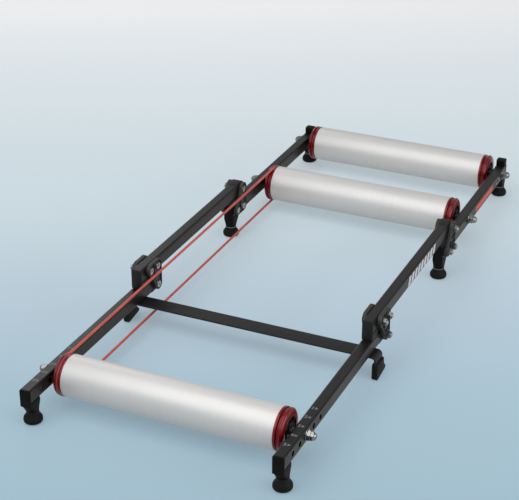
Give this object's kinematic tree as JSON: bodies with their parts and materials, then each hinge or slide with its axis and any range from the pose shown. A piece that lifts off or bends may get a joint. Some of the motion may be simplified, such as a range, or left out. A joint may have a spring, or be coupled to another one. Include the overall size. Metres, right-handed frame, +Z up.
{
  "type": "bike rollers",
  "caption": "Folding bike rollers: free-spinning metal drums with grooved pulley caps and a drive belt on a hinged rail frame with rubber feet.",
  "frame": {"origin": "middle of the footprint, on the floor", "axes": "+X to the side away from the belt, +Y from the front drum to the rear pair of drums, +Z up"},
  "size_m": [0.5242, 1.273, 0.116],
  "materials": {
    "rail_black": "satin black powder coat",
    "moulded_black": "moulded nylon, fine grain",
    "plate_black": "moulded nylon, fine grain",
    "bolt_steel": "zinc plated",
    "nut_chrome": "bright plated",
    "ring_steel": "zinc plated washer",
    "axle_steel": "drawn steel",
    "belt_red": "round elastic cord",
    "foot_rubber": "moulded rubber",
    "drum_aluminium": "satin, turned and anodised",
    "cap_red": "deep red, semi-gloss",
    "disc_black": "moulded",
    "bearing_steel": "ground steel"
  },
  "bodies": {
    "middle_frame": {"middle_rail_left": "rail_black", "middle_rail_right": "rail_black", "middle_plug_left": "moulded_black", "middle_plug_right": "moulded_black", "middle_knuckle_left": "moulded_black", "middle_knuckle_right": "moulded_black", "front_hinge_plates_left": "plate_black", "front_hinge_plates_right": "plate_black", "front_hinge_bolts": "bolt_steel", "front_pivot_bolts": "bolt_steel", "front_hinge_nuts": "nut_chrome", "drive_belt": "belt_red"},
    "front_frame": {"front_rail_left": "rail_black", "front_rail_right": "rail_black", "front_knuckle_left": "moulded_black", "front_knuckle_right": "moulded_black", "front_socket_left": "moulded_black", "front_socket_right": "moulded_black", "front_foot_left": "foot_rubber", "front_foot_right": "foot_rubber", "front_foot_rings": "ring_steel", "cross_bar": "rail_black", "cross_bar_shoes": "foot_rubber", "cross_bar_screws": "bolt_steel", "front_axle": "axle_steel", "front_axle_nuts": "nut_chrome", "front_axle_collars": "axle_steel"},
    "rear_frame": {"rear_rail_left": "rail_black", "rear_rail_right": "rail_black", "rear_hinge_plates_left": "plate_black", "rear_hinge_plates_right": "plate_black", "rear_hinge_bolts": "bolt_steel", "rear_pivot_bolts": "bolt_steel", "rear_hinge_nuts": "nut_chrome", "hinge_socket_left": "moulded_black", "hinge_socket_right": "moulded_black", "hinge_foot_left": "foot_rubber", "hinge_foot_right": "foot_rubber", "rear_post_left": "moulded_black", "rear_post_right": "moulded_black", "rear_foot_left": "foot_rubber", "rear_foot_right": "foot_rubber", "rear_foot_rings": "ring_steel", "middle_axle": "axle_steel", "rear_axle": "axle_steel", "rear_axle_nuts": "nut_chrome", "rear_axle_collars": "axle_steel"},
    "front_roller": {"front_drum": "drum_aluminium", "front_pulley_caps": "cap_red", "front_hub_discs": "disc_black", "front_bearings": "bearing_steel"},
    "middle_roller": {"middle_drum": "drum_aluminium", "middle_pulley_caps": "cap_red", "middle_hub_discs": "disc_black", "middle_bearings": "bearing_steel"},
    "rear_roller": {"rear_drum": "drum_aluminium", "rear_pulley_caps": "cap_red", "rear_hub_discs": "disc_black", "rear_bearings": "bearing_steel"}
  },
  "joints": [
    {"name": "rear_fold", "type": "hinge", "parent": "middle_frame", "child": "rear_frame", "pos_m": [0, 0.211, 0.1], "axis": [1, 0, 0], "range_deg": [0, 180], "deforming": ["drive_belt"]},
    {"name": "front_fold", "type": "hinge", "parent": "middle_frame", "child": "front_frame", "pos_m": [0, -0.18, 0.06], "axis": [1, 0, 0], "range_deg": [0, 180], "deforming": ["drive_belt"]},
    {"name": "middle_roller_spin", "type": "hinge", "parent": "rear_frame", "child": "middle_roller", "pos_m": [0, 0.348, 0.06], "axis": [1, 0, 0], "continuous": true},
    {"name": "front_roller_spin", "type": "hinge", "parent": "front_frame", "child": "front_roller", "pos_m": [0, -0.54, 0.06], "axis": [1, 0, 0], "continuous": true},
    {"name": "rear_roller_spin", "type": "hinge", "parent": "rear_frame", "child": "rear_roller", "pos_m": [0, 0.6, 0.06], "axis": [1, 0, 0], "continuous": true}
  ],
  "couplings": [
    {"joint": "front_fold", "follows": "rear_fold", "ratio": 1},
    {"joint": "front_roller_spin", "follows": "middle_roller_spin", "ratio": 1}
  ]
}
